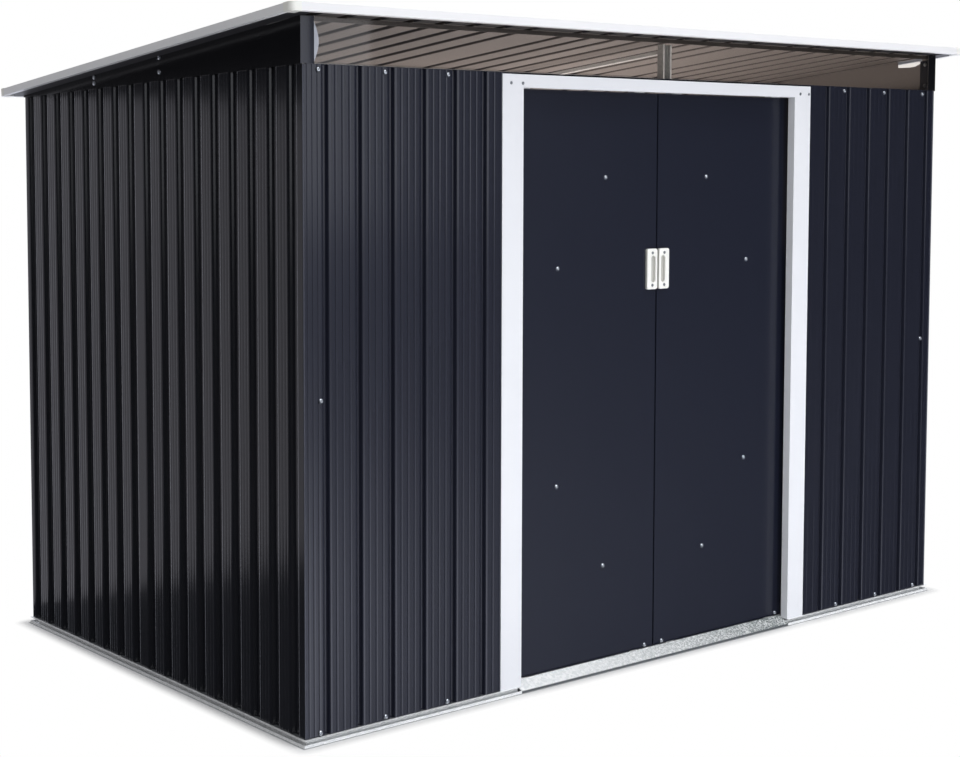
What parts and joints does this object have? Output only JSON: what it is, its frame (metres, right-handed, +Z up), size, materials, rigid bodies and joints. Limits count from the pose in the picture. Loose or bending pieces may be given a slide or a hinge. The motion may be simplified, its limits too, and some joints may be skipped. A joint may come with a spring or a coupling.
{
  "type": "metal storage shed",
  "caption": "Charcoal corrugated steel storage shed with a pent roof, white trims, a clear window band and sliding double doors.",
  "frame": {"origin": "on the ground, at the centre of the roof's plan", "axes": "+X along the front towards the right-hand door, +Y to the back, +Z up"},
  "size_m": [2.529, 1.5232, 1.7359],
  "materials": {
    "charcoal_paint": "gloss",
    "white_paint": "satin",
    "galvanised": "satin",
    "white_plastic": "satin",
    "clear_plastic": "gloss"
  },
  "bodies": {
    "shed": {"back_top_rail": "galvanised", "back_wall_1": "charcoal_paint", "back_wall_2": "charcoal_paint", "back_wall_3": "charcoal_paint", "base_rail_back": "galvanised", "base_rail_front_left": "galvanised", "base_rail_front_right": "galvanised", "base_rail_left": "galvanised", "base_rail_right": "galvanised", "centre_post": "galvanised", "corner_post_back_left": "galvanised", "corner_post_back_right": "galvanised", "corner_post_front_left": "galvanised", "corner_post_front_right": "galvanised", "door_header": "white_paint", "door_jamb_left": "white_paint", "door_jamb_right": "white_paint", "door_threshold": "galvanised", "door_track": "galvanised", "front_top_rail": "galvanised", "front_wall_left": "charcoal_paint", "front_wall_right": "charcoal_paint", "gable_left": "charcoal_paint", "gable_right": "charcoal_paint", "left_top_rail": "galvanised", "left_wall_1": "charcoal_paint", "left_wall_2": "charcoal_paint", "right_top_rail": "galvanised", "right_wall_1": "charcoal_paint", "right_wall_2": "charcoal_paint", "roof_corner_caps": "white_plastic", "roof_front_rail": "charcoal_paint", "roof_purlins": "galvanised", "roof_rafter": "galvanised", "roof_sheet_1": "charcoal_paint", "roof_sheet_2": "charcoal_paint", "roof_sheet_3": "charcoal_paint", "roof_trim_back": "white_paint", "roof_trim_front": "white_paint", "roof_trim_left": "white_paint", "roof_trim_right": "white_paint", "window_pane_left": "clear_plastic", "window_pane_right": "clear_plastic"},
    "left_leaf": {"left_door": "charcoal_paint", "left_door_braces": "galvanised", "left_door_glides": "white_plastic", "left_door_handle": "white_plastic", "left_door_hangers": "galvanised"},
    "right_leaf": {"right_door": "charcoal_paint", "right_door_braces": "galvanised", "right_door_glides": "white_plastic", "right_door_handle": "white_plastic", "right_door_hangers": "galvanised"}
  },
  "joints": [
    {"name": "left_door_slide", "type": "slide", "parent": "shed", "child": "left_leaf", "axis": [-1, 0, 0], "range_m": [0, 0.4745]},
    {"name": "right_door_slide", "type": "slide", "parent": "shed", "child": "right_leaf", "axis": [1, 0, 0], "range_m": [0, 0.4745]}
  ]
}
